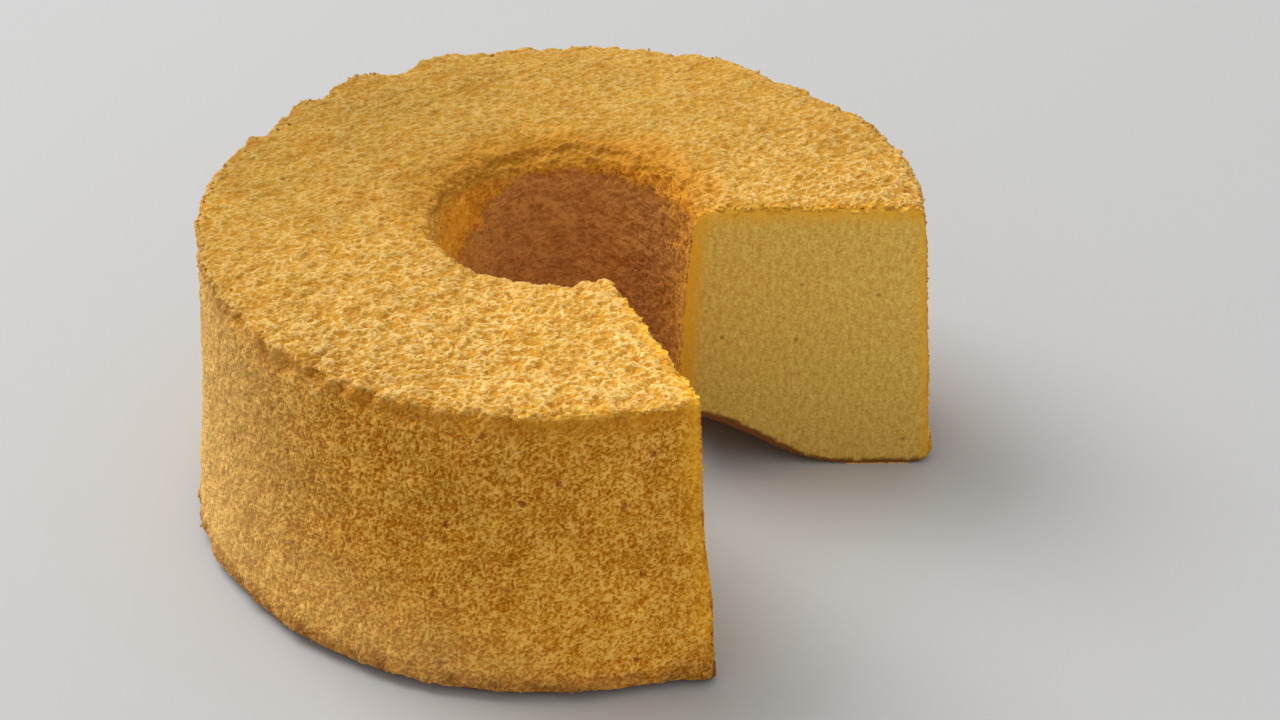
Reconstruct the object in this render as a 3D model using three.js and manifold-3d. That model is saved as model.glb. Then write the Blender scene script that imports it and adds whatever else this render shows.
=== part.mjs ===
// Chiffon cake from a tube pan, turned out upside down, with one wedge cut away.
// Millimetres, +Z up. The origin is on the ring's axis, at the level the cake stands on.
import * as THREE from 'three';
import { mergeVertices } from 'three/addons/utils/BufferGeometryUtils.js';
import Module from 'manifold-3d';

// Driving dimensions
const BASE_RADIUS = 100;          // the pan's wide mouth, now the foot of the cake
const TOP_RADIUS = 95.5;          // the pan's floor, now the top
const HEIGHT = 82.5;
const RIM_ROUND = 2.5;            // worn edge between the top and the outer wall
const HOLE_TOP_RADIUS = 33;       // left by the pan's tube, which narrows towards the foot
const HOLE_BASE_RADIUS = 28.5;
const SHOULDER_WIDTH = 4.5;       // crumbled edge between the top and the hole
const SHOULDER_DEPTH = 6;
const CUT_NEAR = -69;             // the two knife cuts, in degrees round +Z from +X
const CUT_FAR = 0;

// Underside: the browned crust, sunk around the hole and flat where it bears on the plate
const LIP_HEIGHT = 4;
const FOOT_OUTER_RADIUS = 94;
const FOOT_INNER_RADIUS = 76;
const HOLLOW_HEIGHT = 16.5;
const HOLLOW_SHELF = 14;          // how far the hollow stays high, outwards from the hole
const HOLLOW_EASE = 18;           // how gently it comes down to the foot
const HOLE_BASE_ROUND = 3;

// Crumb relief: how far the lumps of each face stand out or in
const WALL_RELIEF = 0.9;
const RIM_RELIEF = 1.1;
const TOP_RELIEF = 1.0;
const SHOULDER_RELIEF = 1.6;
const HOLE_RELIEF = 1.2;
const HOLLOW_RELIEF = 0.8;
const LARGE_LUMP = 17;            // spacing of the broad swells
const SMALL_LUMP = 8;             // spacing of the lumps on them
const LARGE_SHARE = 0.6;
const LUMP_SEED = 11;

// Torn spots along the rim, where the skin stayed on the pan: the deep ones by angle, the rest seeded
const DEEP_TEARS = [120.8, 136, 150, 212, 222.5, 230, 235.5, 243];
const DEEP_TEAR_WIDTH = [3.5, 5.5];
const DEEP_TEAR_DEPTH = [2.6, 3.6];
const SMALL_TEARS = 16;
const SMALL_TEAR_WIDTH = [4, 8];
const SMALL_TEAR_DEPTH = [0.8, 1.8];
const TEAR_REACH = 5;
const TEAR_SEED = 5;

// Ledge torn into the far side of the hole's shoulder
const LEDGE_ANGLE = 95;
const LEDGE_SPREAD = 24;          // degrees to each side, before it fades out
const LEDGE_DEPTH = 1.5;
const LEDGE_WIDTH = 1.3;

// Flap of crumb dragged out by the knife at the foot of the near cut
const FLAP_REACH = 3.2;
const FLAP_WIDTH = 5;
const FLAP_HEIGHT = 12;

// Fineness of the mesh
const COLUMNS = 120;

const wasm = await Module();
wasm.setup();

const at = (radius, height) => new THREE.Vector2(radius, height);
const line = (from, to) => new THREE.LineCurve(from, to);
const arc = (centre, width, height, from, to) =>
  new THREE.EllipseCurve(centre.x, centre.y, width, height, from * Math.PI, to * Math.PI);

// The ring's section, stretch by stretch, from the middle of the foot outwards and round.
function sectionStretches() {
  const foot = at((FOOT_INNER_RADIUS + FOOT_OUTER_RADIUS) / 2, 0);
  const footOuter = at(FOOT_OUTER_RADIUS, 0);
  const footInner = at(FOOT_INNER_RADIUS, 0);
  const lipTop = at(BASE_RADIUS, LIP_HEIGHT);
  const lipCentre = at(FOOT_OUTER_RADIUS, LIP_HEIGHT);
  const wallTop = at(TOP_RADIUS, HEIGHT - RIM_ROUND);
  const rimCentre = at(TOP_RADIUS - RIM_ROUND, HEIGHT - RIM_ROUND);
  const topOuter = at(TOP_RADIUS - RIM_ROUND, HEIGHT);
  const topInner = at(HOLE_TOP_RADIUS + SHOULDER_WIDTH, HEIGHT);
  const shoulderCentre = at(HOLE_TOP_RADIUS + SHOULDER_WIDTH, HEIGHT - SHOULDER_DEPTH);
  const holeTop = at(HOLE_TOP_RADIUS, HEIGHT - SHOULDER_DEPTH);
  const holeBase = at(HOLE_BASE_RADIUS, HOLLOW_HEIGHT + HOLE_BASE_ROUND);
  const roundCentre = at(HOLE_BASE_RADIUS + HOLE_BASE_ROUND, HOLLOW_HEIGHT + HOLE_BASE_ROUND);
  const hollowTop = at(HOLE_BASE_RADIUS + HOLE_BASE_ROUND, HOLLOW_HEIGHT);
  const shelf = at(hollowTop.x + HOLLOW_SHELF, HOLLOW_HEIGHT);
  const ease = at(FOOT_INNER_RADIUS - HOLLOW_EASE, 0);
  const lipWidth = BASE_RADIUS - FOOT_OUTER_RADIUS;
  return [
    { curve: line(foot, footOuter), steps: 1, relief: 0 },
    { curve: arc(lipCentre, lipWidth, LIP_HEIGHT, -0.5, 0), steps: 3, relief: 0 },
    { curve: line(lipTop, wallTop), steps: 12, relief: WALL_RELIEF },
    { curve: arc(rimCentre, RIM_ROUND, RIM_ROUND, 0, 0.5), steps: 4, relief: RIM_RELIEF },
    { curve: line(topOuter, topInner), steps: 9, relief: TOP_RELIEF },
    { curve: arc(shoulderCentre, SHOULDER_WIDTH, SHOULDER_DEPTH, 0.5, 1), steps: 7, relief: SHOULDER_RELIEF },
    { curve: line(holeTop, holeBase), steps: 7, relief: HOLE_RELIEF },
    { curve: arc(roundCentre, HOLE_BASE_ROUND, HOLE_BASE_ROUND, 1, 1.5), steps: 2, relief: HOLE_RELIEF },
    { curve: new THREE.CubicBezierCurve(hollowTop, shelf, ease, footInner), steps: 7, relief: HOLLOW_RELIEF },
    { curve: line(footInner, foot), steps: 1, relief: 0 },
  ];
}

// The section as points with a relief depth each; where two stretches meet, the shallower relief counts.
function sectionRows() {
  const rows = [];
  for (const { curve, steps, relief } of sectionStretches()) {
    const points = curve.getPoints(steps);
    if (rows.length > 0) {
      const meeting = rows[rows.length - 1];
      meeting.relief = Math.min(meeting.relief, relief);
      points.shift();
    }
    for (const point of points) {
      rows.push({ point, relief });
    }
  }
  rows[rows.length - 1].relief = 0;
  return rows;
}

// A seeded run of numbers from 0 to 1.
function seededRandom(seed) {
  let state = seed >>> 0;
  return () => {
    state = (state + 0x6d2b79f5) >>> 0;
    let mixed = Math.imul(state ^ (state >>> 15), state | 1);
    mixed ^= mixed + Math.imul(mixed ^ (mixed >>> 7), mixed | 61);
    return ((mixed ^ (mixed >>> 14)) >>> 0) / 4294967296;
  };
}

// A fixed number from -1 to 1 for each corner of a cubic lattice.
function cornerValue(x, y, z, seed) {
  const key = Math.imul(x, 374761393) ^ Math.imul(y, 668265263) ^ Math.imul(z, 2147483647 - seed);
  return seededRandom(key)() * 2 - 1;
}

// Smooth lumps of one spacing, from -1 to 1, blended between the corners of the lattice.
function lumps(point, spacing, seed) {
  const scaled = point.clone().divideScalar(spacing);
  const cell = scaled.clone().floor();
  const part = scaled.sub(cell);
  const ease = (t) => t * t * (3 - 2 * t);
  let sum = 0;
  for (let corner = 0; corner < 8; corner += 1) {
    const dx = corner & 1;
    const dy = (corner >> 1) & 1;
    const dz = corner >> 2;
    const weightX = dx ? ease(part.x) : 1 - ease(part.x);
    const weightY = dy ? ease(part.y) : 1 - ease(part.y);
    const weightZ = dz ? ease(part.z) : 1 - ease(part.z);
    sum += weightX * weightY * weightZ * cornerValue(cell.x + dx, cell.y + dy, cell.z + dz, seed);
  }
  return sum;
}

// The torn spots: the deep ones and a seeded rest between the two cuts.
function rimTears() {
  const random = seededRandom(TEAR_SEED);
  const between = ([low, high]) => low + (high - low) * random();
  const tears = DEEP_TEARS.map((angle) => ({
    angle,
    width: between(DEEP_TEAR_WIDTH),
    depth: between(DEEP_TEAR_DEPTH),
  }));
  for (let i = 0; i < SMALL_TEARS; i += 1) {
    tears.push({
      angle: between([CUT_FAR, 360 + CUT_NEAR]),
      width: between(SMALL_TEAR_WIDTH),
      depth: between(SMALL_TEAR_DEPTH),
    });
  }
  return tears;
}

// How far a point lies from an angle, in degrees round the axis.
function turnFrom(point, degrees) {
  const turn = Math.atan2(point.y, point.x) - THREE.MathUtils.degToRad(degrees);
  return Math.abs(THREE.MathUtils.radToDeg(Math.atan2(Math.sin(turn), Math.cos(turn))));
}

// 1 at no distance, fading smoothly to nothing a little past the reach.
function nearness(distance, reach) {
  return Math.exp(-((distance / reach) ** 2));
}

// How deep the rim is torn at a point: deepest on the rim itself, gone a few millimetres from it.
function tearDepth(point, tears) {
  const fromRim = Math.hypot(Math.hypot(point.x, point.y) - TOP_RADIUS, point.z - HEIGHT);
  const depths = tears.map(({ angle, width, depth }) => {
    const along = THREE.MathUtils.degToRad(turnFrom(point, angle)) * TOP_RADIUS;
    return depth * nearness(along, width);
  });
  return Math.max(...depths) * nearness(fromRim, TEAR_REACH);
}

// How deep the ledge is at a point of the hole's shoulder.
function ledgeDepth(point) {
  const middle = at(HOLE_TOP_RADIUS + SHOULDER_WIDTH * 0.6, HEIGHT - SHOULDER_DEPTH * 0.2);
  const fromMiddle = Math.hypot(Math.hypot(point.x, point.y) - middle.x, point.z - middle.y);
  const sideways = Math.max(0, turnFrom(point, LEDGE_ANGLE) - LEDGE_SPREAD);
  return LEDGE_DEPTH * nearness(fromMiddle, LEDGE_WIDTH) * nearness(sideways, LEDGE_SPREAD / 3);
}

// How far the flap stands out at a point of the wall's foot.
function flapReach(point) {
  const along = THREE.MathUtils.degToRad(turnFrom(point, CUT_NEAR - 1.5)) * BASE_RADIUS;
  const outside = Math.hypot(point.x, point.y) > FOOT_OUTER_RADIUS - 1;
  return outside ? FLAP_REACH * nearness(along, FLAP_WIDTH) * nearness(point.z, FLAP_HEIGHT * 0.7) : 0;
}

// The whole ring before it is cut, with its relief.
function wholeRing() {
  const rows = sectionRows();
  const halfColumn = Math.PI / COLUMNS;
  const ring = new THREE.LatheGeometry(rows.map((row) => row.point), COLUMNS, halfColumn);
  ring.rotateX(Math.PI / 2);
  const tears = rimTears();
  const { position, normal } = ring.attributes;
  for (let i = 0; i < position.count; i += 1) {
    const { relief } = rows[i % rows.length];
    const point = new THREE.Vector3().fromBufferAttribute(position, i);
    const outwards = new THREE.Vector3().fromBufferAttribute(normal, i);
    const radial = new THREE.Vector3(point.x, point.y, 0).normalize();
    const flap = flapReach(point);
    if (relief > 0) {
      const broad = LARGE_SHARE * lumps(point, LARGE_LUMP, LUMP_SEED);
      const fine = (1 - LARGE_SHARE) * lumps(point, SMALL_LUMP, LUMP_SEED + 1);
      const torn = tearDepth(point, tears) + ledgeDepth(point);
      point.addScaledVector(outwards, relief * (broad + fine) - torn);
    }
    point.addScaledVector(radial, flap);
    position.setXYZ(i, point.x, point.y, point.z);
  }
  return ring;
}

// The space of the missing wedge, from the axis out past the wall and past both faces.
function wedgeSpace() {
  const reach = BASE_RADIUS * 1.5;
  const past = HEIGHT * 0.2;
  const outline = new THREE.Shape();
  outline.moveTo(0, 0);
  for (const degrees of [CUT_NEAR, CUT_FAR]) {
    const angle = THREE.MathUtils.degToRad(degrees);
    outline.lineTo(reach * Math.cos(angle), reach * Math.sin(angle));
  }
  const space = new THREE.ExtrudeGeometry(outline, { depth: HEIGHT + 2 * past, bevelEnabled: false });
  return space.translate(0, 0, -past);
}

function toSolid(geometry) {
  geometry.deleteAttribute('normal');
  geometry.deleteAttribute('uv');
  const merged = mergeVertices(geometry);
  return new wasm.Manifold(new wasm.Mesh({
    numProp: 3,
    vertProperties: merged.attributes.position.array,
    triVerts: new Uint32Array(merged.index.array),
  }));
}

function toGeometry(solid) {
  const mesh = solid.getMesh();
  const geometry = new THREE.BufferGeometry();
  geometry.setAttribute('position', new THREE.BufferAttribute(mesh.vertProperties, mesh.numProp));
  geometry.setIndex(new THREE.BufferAttribute(mesh.triVerts, 1));
  geometry.computeVertexNormals();
  return geometry;
}

function makeCake() {
  const cut = toSolid(wholeRing()).subtract(toSolid(wedgeSpace()));
  const crumb = new THREE.MeshStandardMaterial({ color: '#d09a3c', roughness: 0.95, metalness: 0 });
  const cake = new THREE.Mesh(toGeometry(cut), crumb);
  cake.name = 'chiffon_cake';
  return cake;
}

const part = new THREE.Group();
part.add(makeCake());

export default part;
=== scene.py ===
"""Chiffon cake: the looks of a tall ring of sponge, turned out of its tube pan and cut once.

The cake's solid comes from the frame. The pieces made here give it the torn golden crust, the dark
skin left by the pan's tube, the pale cut crumb, the browned foot and loose tufts. Metres, +Z up.
"""

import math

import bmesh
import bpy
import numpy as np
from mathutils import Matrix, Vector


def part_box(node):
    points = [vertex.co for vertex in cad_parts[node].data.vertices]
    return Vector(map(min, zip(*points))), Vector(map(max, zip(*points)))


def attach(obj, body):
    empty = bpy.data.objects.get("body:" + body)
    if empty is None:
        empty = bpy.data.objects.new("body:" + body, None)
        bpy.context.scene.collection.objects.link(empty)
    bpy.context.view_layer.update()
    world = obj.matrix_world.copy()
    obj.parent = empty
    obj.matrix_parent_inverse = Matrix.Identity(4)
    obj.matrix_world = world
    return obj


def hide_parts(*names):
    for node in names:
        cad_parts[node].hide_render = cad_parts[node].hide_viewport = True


bl_info = {
    "name": "Chiffon Cake",
    "version": (1, 0, 0),
    "blender": (4, 5, 0),
    "location": "View3D > Sidebar > Cake",
    "description": "Crust, crumb and studio for a cut ring of chiffon sponge",
    "category": "Object",
}

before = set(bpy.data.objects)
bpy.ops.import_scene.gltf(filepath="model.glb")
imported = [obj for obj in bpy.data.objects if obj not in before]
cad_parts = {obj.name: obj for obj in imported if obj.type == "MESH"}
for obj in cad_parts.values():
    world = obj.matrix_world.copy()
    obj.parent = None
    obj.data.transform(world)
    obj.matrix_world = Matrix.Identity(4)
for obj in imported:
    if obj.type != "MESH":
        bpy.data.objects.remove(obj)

CAKE_NODE = "chiffon_cake"
CAKE_LOW, CAKE_HIGH = (Vector(corner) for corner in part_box(CAKE_NODE))
MM = 0.001
PER_MM2 = 1 / MM ** 2
PARTS = ("top_crust", "near_wall", "far_wall", "tube_skin", "cut_crumb", "oven_foot")
RELIEF_KINDS = ("Crag", "Tuft", "Pore", "Clump")
TUFT_SEED = 0
FLOOR_REACH = 4.0
SENSOR_WIDTH_MM = 36.0

# The top's strands of crumb are drawn out from left to right: the scale of their pattern on each axis.
STRAND_DRAW = (0.6, 1.1, 1.1)

# Spacings of the spots on the wall, and of the pinholes in the crumb, in millimetres.
WALL_SPOT_SPACING = 8.0
PINHOLE_SPACING = 9.0

# Noises of the crust and of the foot: spacing in millimetres, detail and roughness.
CRUST_NOISES = {"fine": (0.6, 2.0, 0.6), "medium": (5.0, 3.0, 0.6), "broad": (13.0, 3.0, 0.55)}
FOOT_NOISES = {"blotch": (9.0, 5.0, 0.6), "wrinkle": (1.5, 3.0, 0.5)}

# How the crust changes across the cake: an axis, two places on it in millimetres and a value for each.
CRUST_FADES = {
    "far side of hole": ("Y", -25.0, 25.0, 0.15, 0.75),
    # Left of the hole: the skin starts lower there, and painted light makes the hole's amber brighter.
    "left of hole": ("X", -13.0, -30.0, 0.0, 1.0),
    "right of hole": ("X", 8.0, 26.0, 1.0, 0.76),
    # Painted sheen on the wall's left side.
    "painted sheen on left wall": ("X", -45.0, -100.0, 0.0, 0.45),
    # Painted light: the wall brighter by the near cut and low down, the top towards the near side and
    # right.
    "painted light by the cut": ("X", -40.0, 30.0, 1.0, 1.15),
    "painted floor light on low wall": ("Z", 55.0, 8.0, 1.0, 1.15),
    "painted light on near top": ("Y", 65.0, -60.0, 0.84, 1.2),
    "painted light on right top": ("X", -90.0, 60.0, 0.87, 1.15),
}


def linear(hex_colour):
    """An sRGB hex value as linear red, green and blue."""
    channels = [int(hex_colour[i:i + 2], 16) / 255 for i in (1, 3, 5)]
    return tuple(c / 12.92 if c <= 0.04045 else ((c + 0.055) / 1.055) ** 2.4 for c in channels)


def size_property(name, description, default_mm):
    """A length that a user may change, given in millimetres and held in metres."""
    return bpy.props.FloatProperty(
        name=name,
        description=description,
        default=default_mm * MM,
        min=0.0,
        precision=5,
        unit="LENGTH",
    )


def angle_property(name, description, degrees):
    """An angle that a user may change, given in degrees and held in radians."""
    return bpy.props.FloatProperty(
        name=name,
        description=description,
        default=math.radians(degrees),
        subtype="ANGLE",
    )


def place_property(name, description, default):
    """A place that a user may change, in metres."""
    return bpy.props.FloatVectorProperty(
        name=name,
        description=description,
        default=default,
        size=3,
        subtype="TRANSLATION",
        unit="LENGTH",
    )


def colour_property(name, description, hex_colour):
    """A colour that a user may change, given as sRGB hex and held as linear."""
    return bpy.props.FloatVectorProperty(
        name=name,
        description=description,
        default=linear(hex_colour),
        min=0.0,
        max=1.0,
        size=3,
        subtype="COLOR",
    )


class CakeSizes(bpy.types.PropertyGroup):
    """Sizes of the ring and of its crumb."""

    top_radius: size_property("Top radius", "Radius of the flat top", 95.5)
    base_radius: size_property("Base radius", "Radius at the foot", (CAKE_HIGH.x - CAKE_LOW.x) / 2 / MM)
    height: size_property("Height", "Height of the flat top", 82.5)
    rim_round: size_property("Rim round", "Radius of the worn edge between top and wall", 2.5)
    hole_radius: size_property("Hole radius", "Radius of the hole under its shoulder", 33.0)
    hole_base_radius: size_property("Hole base radius", "Radius of the hole at the foot", 28.5)
    hollow_height: size_property("Hollow height", "Rise of the underside round the hole", 16.5)
    foot_radius: size_property("Foot radius", "Inner radius of the flat foot", 76.0)
    lip_height: size_property("Lip height", "Height of the rounded lip at the foot", 4.0)
    skin_drop: size_property("Skin drop", "How far under the top the dark skin of the hole starts", 8.0)
    near_cut: angle_property("Near cut", "Angle of the near knife cut round +Z from +X", -69)
    ledge_turn: angle_property("Ledge", "Angle of the ledge torn into the hole's shoulder", 95)
    ledge_spread: angle_property("Ledge spread", "How far the ledge runs to each side", 27)
    grid: size_property("Grid", "Edge length of the body's mesh", 0.6)
    crag_spacing: size_property("Crag spacing", "Spacing of the crust's coarse crags", 3.4)
    crag_depth: size_property("Crag depth", "Depth of the crags on the top", 0.8)
    tuft_spacing: size_property("Tuft spacing", "Spacing of the tufts on the top", 1.7)
    tuft_depth: size_property("Tuft depth", "Depth between the tufts on the top", 0.5)
    clump_spacing: size_property("Clump spacing", "Spacing of the clumps along the rim", 6.5)
    clump_depth: size_property("Clump depth", "Depth of the torn pits along the rim", 1.5)
    pore_spacing: size_property("Pore spacing", "Spacing of the pores in the wall", 1.3)
    pore_depth: size_property("Pore depth", "Depth of the pores in the wall", 0.5)
    dish_depth: size_property("Dish depth", "How far the top sinks towards the hole", 3.8)
    foot_spread: size_property("Foot spread", "How far the foot spreads at the front left", 2.4)
    rim_swell: size_property("Rim swell", "How far the rim swells at the back", 1.6)
    cut_lean: size_property("Cut lean", "How far the near cut leans out at its foot", 2.0)


class TuftSizes(bpy.types.PropertyGroup):
    """Number and sizes of the loose tufts of crumb."""

    count: bpy.props.FloatProperty(
        name="Count", description="Tufts on each square millimetre of edge", default=0.9, min=0.0
    )
    smallest: size_property("Smallest", "Half the width of the smallest tufts", 0.15)
    largest: size_property("Largest", "Half the width of the largest tufts", 0.45)
    stretch: bpy.props.FloatProperty(
        name="Stretch", description="How tall a tuft stands for its width", default=1.8, min=0.1
    )


class CakeColours(bpy.types.PropertyGroup):
    """Colours of the crust and the crumb."""

    # Pits and pores darker, tufts and ridges paler: partly the crumb's colour, partly painted shade and
    # highlight.
    top_pit: colour_property("Top pits", "Amber between the tufts of the top", "#BE8024")
    top_body: colour_property("Top", "Gold of the top", "#CE9C3C")
    top_tuft: colour_property("Top tufts", "Cream of the raised tufts", "#E4C27C")
    top_patch: colour_property("Top patches", "Orange patches of thin skin on the top", "#C2801E")
    wall_pit: colour_property("Wall pits", "Brown in the pores of the wall", "#B2650E")
    wall_body: colour_property("Wall", "Browned gold of the wall", "#D89526")
    wall_ridge: colour_property("Wall ridges", "Pale ridges between the pores", "#F5BD59")
    wall_painted_light: colour_property("Wall, paler side", "Less browned side of the wall", "#F0CA86")
    # Painted light: the pale sheen and bounced floor light on the wall's left side.
    wall_spot: colour_property("Wall spots", "Scattered dark spots of the wall", "#823410")
    rim_band: colour_property("Rim band", "Soft amber crust just under the rim", "#CC8620")
    rim_tear: colour_property("Rim tears", "Torn spots along the rim", "#BC7A20")
    hole_amber: colour_property("Upper hole", "Amber crust inside the hole, above the skin", "#CE8A24")
    skin_dark: colour_property("Tube skin, dark", "Darker blotches inside the hole", "#B87034")
    skin_body: colour_property("Tube skin", "Red-brown skin inside the hole", "#E4A054")
    crumb_body: colour_property("Crumb", "Pale yellow crumb on the cuts", "#FFDA6E")
    crumb_pore: colour_property("Crumb pores", "Shade in the open cells of the crumb", "#DEA848")
    # Painted shade: dark spots for the larger holes in the crumb.
    crumb_pinhole_shade: colour_property("Crumb pinholes", "The few larger holes in the crumb", "#8A6424")
    crumb_edge: colour_property("Crust band", "Amber band of crust round the cut crumb", "#FFB92A")
    foot_body: colour_property("Foot", "Brown of the crust underneath", "#8A5528")
    foot_dark: colour_property("Foot, dark", "Darkest patches of the crust underneath", "#5A3418")


class StageLook(bpy.types.PropertyGroup):
    """Floor, light and camera."""

    floor_colour: colour_property("Floor", "Pale matt floor", "#BCBDBE")
    sky_colour: colour_property("Surround", "Soft light from all round", "#EEECE9")
    sky_strength: bpy.props.FloatProperty(
        name="Surround strength", description="Strength of the light from all round", default=0.74, min=0.0
    )
    key_power: bpy.props.FloatProperty(
        name="Key power", description="Power of the large soft light", default=76.0, min=0.0, unit="POWER"
    )
    key_size: size_property("Key size", "Side of the large soft light", 2000.0)
    key_place: place_property("Key place", "Where the large soft light hangs", (-1.55, 1.1, 2.45))
    lens: bpy.props.FloatProperty(
        name="Lens",
        description="Focal length on a 36 mm wide sensor",
        default=84.375,
        min=1.0,
        unit="CAMERA",
    )
    camera_place: place_property("Camera place", "Where the camera stands", (0.01572, -0.6781, 0.48067))
    camera_turn: bpy.props.FloatVectorProperty(
        name="Camera turn",
        description="Pitch down, yaw to the right and roll of the camera",
        default=(math.radians(33.31), math.radians(0.33), math.radians(-0.41)),
        size=3,
        subtype="EULER",
    )


def add(tree, kind, inputs=(), **settings):
    """Adds a node of one kind with its settings.

    Inputs come by name or in order. Each takes a value, an output of another node, or another node,
    which gives its first output in use.
    """
    new = tree.nodes.new(kind)
    for name, value in settings.items():
        setattr(new, name, value)
    pairs = inputs.items() if isinstance(inputs, dict) else enumerate(inputs)
    for key, value in pairs:
        if isinstance(value, bpy.types.Node):
            value = next(output for output in value.outputs if output.enabled)
        if isinstance(value, bpy.types.NodeSocket):
            tree.links.new(value, new.inputs[key])
        else:
            new.inputs[key].default_value = value
    return new


def rgba(colour):
    """A colour property as red, green, blue and full alpha."""
    return tuple(colour) + (1.0,)


def new_material(name):
    """A material with no nodes yet, and its tree."""
    material = bpy.data.materials.new(name)
    material.use_nodes = True
    material.node_tree.nodes.clear()
    return material, material.node_tree


def end_material(tree, look):
    """Ends a material with its surface: what each input of the shader takes, by name."""
    shader = add(tree, "ShaderNodeBsdfPrincipled", look)
    add(tree, "ShaderNodeOutputMaterial", {"Surface": shader})


def place_in_mm(tree):
    """The place on the piece, in millimetres."""
    place = add(tree, "ShaderNodeTexCoord").outputs["Object"]
    return add(tree, "ShaderNodeVectorMath", {"Vector": place, "Scale": 1 / MM}, operation="SCALE")


def radius_of(tree, place):
    """How far a place lies from the ring's axis."""
    flat = add(tree, "ShaderNodeVectorMath", (place, (1, 1, 0)), operation="MULTIPLY")
    return add(tree, "ShaderNodeVectorMath", (flat,), operation="LENGTH")


def strands(tree, place, scale, reach, height):
    """Curled strands of crumb, which lie where a slow noise crosses its middle value."""
    noise = add(
        tree, "ShaderNodeTexNoise", {"Vector": place, "Scale": scale, "Detail": 2.0, "Roughness": 0.6}
    )
    off_middle = add(tree, "ShaderNodeMath", (noise, 0.5), operation="SUBTRACT")
    from_strand = add(tree, "ShaderNodeMath", (off_middle,), operation="ABSOLUTE")
    return add(
        tree,
        "ShaderNodeMapRange",
        {"Value": from_strand, "From Max": reach, "To Min": height, "To Max": 0.0},
        interpolation_type="SMOOTHSTEP",
    )


def set_stops(ramp, colours):
    """Spreads colours evenly over a ramp."""
    stops = ramp.color_ramp.elements
    for i in range(1, len(colours) - 1):
        stops.new(i / (len(colours) - 1))
    for stop, colour in zip(stops, colours):
        stop.color = rgba(colour)


def crust_patterns(tree, sizes):
    """What the crust's colours follow, by name: the place, zones of the surface and the crumb on it."""
    place = place_in_mm(tree)
    at = {"place": place}
    for axis, output in zip("XYZ", add(tree, "ShaderNodeSeparateXYZ", (place,)).outputs):
        at[axis] = output
    for zone in ("top", "hole", "torn", "browned", "margin", "relief", "rough"):
        at[zone] = add(tree, "ShaderNodeAttribute", attribute_name=zone).outputs["Fac"]
    for name, (spacing, detail, roughness) in CRUST_NOISES.items():
        at[name] = add(
            tree,
            "ShaderNodeTexNoise",
            {"Vector": place, "Scale": 1 / spacing, "Detail": detail, "Roughness": roughness},
        )
    for name, (axis, start, end, first, last) in CRUST_FADES.items():
        at[name] = add(
            tree,
            "ShaderNodeMapRange",
            {"Value": at[axis], "From Min": start, "From Max": end, "To Min": first, "To Max": last},
            interpolation_type="SMOOTHSTEP",
        )

    # How high the crumb stands: from pit to tuft on the top, and from pore to ridge on the wall. Its
    # strands curl as those of the relief do. The colours follow it, darker in the pits and paler on the
    # tufts and ridges: partly the crumb's own colour, partly painted shade and highlight.
    drawn = add(tree, "ShaderNodeVectorMath", (place, STRAND_DRAW), operation="MULTIPLY")
    curl = strands(tree, drawn, MM / sizes.tuft_spacing, 0.11, 0.5)
    stood = add(tree, "ShaderNodeMath", (at["relief"], 0.8, curl), operation="MULTIPLY_ADD")
    at["tufty"] = add(tree, "ShaderNodeMath", (at["fine"], 1.4, stood), operation="MULTIPLY_ADD")
    tufted = add(tree, "ShaderNodeMapRange", {"Value": at["tufty"], "From Min": 0.75, "From Max": 1.9})
    top_level = add(tree, "ShaderNodeMix", {"Factor": at["rough"], "A": 0.5, "B": tufted})
    net = strands(tree, place, MM / sizes.pore_spacing, 0.11, 0.5)
    netted = add(tree, "ShaderNodeMath", (at["relief"], 0.6, net), operation="MULTIPLY_ADD")
    grainy = add(tree, "ShaderNodeMath", (at["fine"], netted))
    mottled = add(tree, "ShaderNodeMath", (at["medium"], grainy))
    wall_level = add(tree, "ShaderNodeMapRange", {"Value": mottled, "From Min": 1.0, "From Max": 2.0})
    level = add(tree, "ShaderNodeMix", {"Factor": at["top"], "A": wall_level, "B": top_level})
    at.update({"top level": top_level, "wall level": wall_level, "level": level})
    at["grain"] = add(tree, "ShaderNodeMapRange", {"Value": level, "To Min": 0.6, "To Max": 1.4})
    return at


def top_gold(tree, at, sizes, colours):
    """The top: cream tufts over amber pits, orange patches of thin skin, and amber behind the hole."""
    gold = add(tree, "ShaderNodeValToRGB", {"Fac": at["top level"]})
    set_stops(gold, (colours.top_pit, colours.top_body, colours.top_tuft))
    patches = add(
        tree,
        "ShaderNodeMapRange",
        {"Value": at["medium"], "From Min": 0.52, "From Max": 0.66, "To Max": 0.5},
    )
    radius = radius_of(tree, at["place"])
    hole_mm = sizes.hole_radius / MM
    by_hole = add(
        tree,
        "ShaderNodeMapRange",
        {"Value": radius, "From Min": hole_mm + 18.0, "From Max": hole_mm + 3.0},
        interpolation_type="SMOOTHSTEP",
    )
    ambered = add(tree, "ShaderNodeMath", (by_hole, at["far side of hole"]), operation="MULTIPLY")
    grain = add(tree, "ShaderNodeMapRange", {"Value": at["top level"], "To Min": 0.65, "To Max": 1.2})
    amber = add(
        tree,
        "ShaderNodeVectorMath",
        {"Vector": tuple(colours.hole_amber), "Scale": grain},
        operation="SCALE",
    )
    for share, tint in ((patches, rgba(colours.top_patch)), (ambered, amber)):
        gold = add(tree, "ShaderNodeMix", {"Factor": share, "A": gold, "B": tint}, data_type="RGBA")
    return gold


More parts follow.
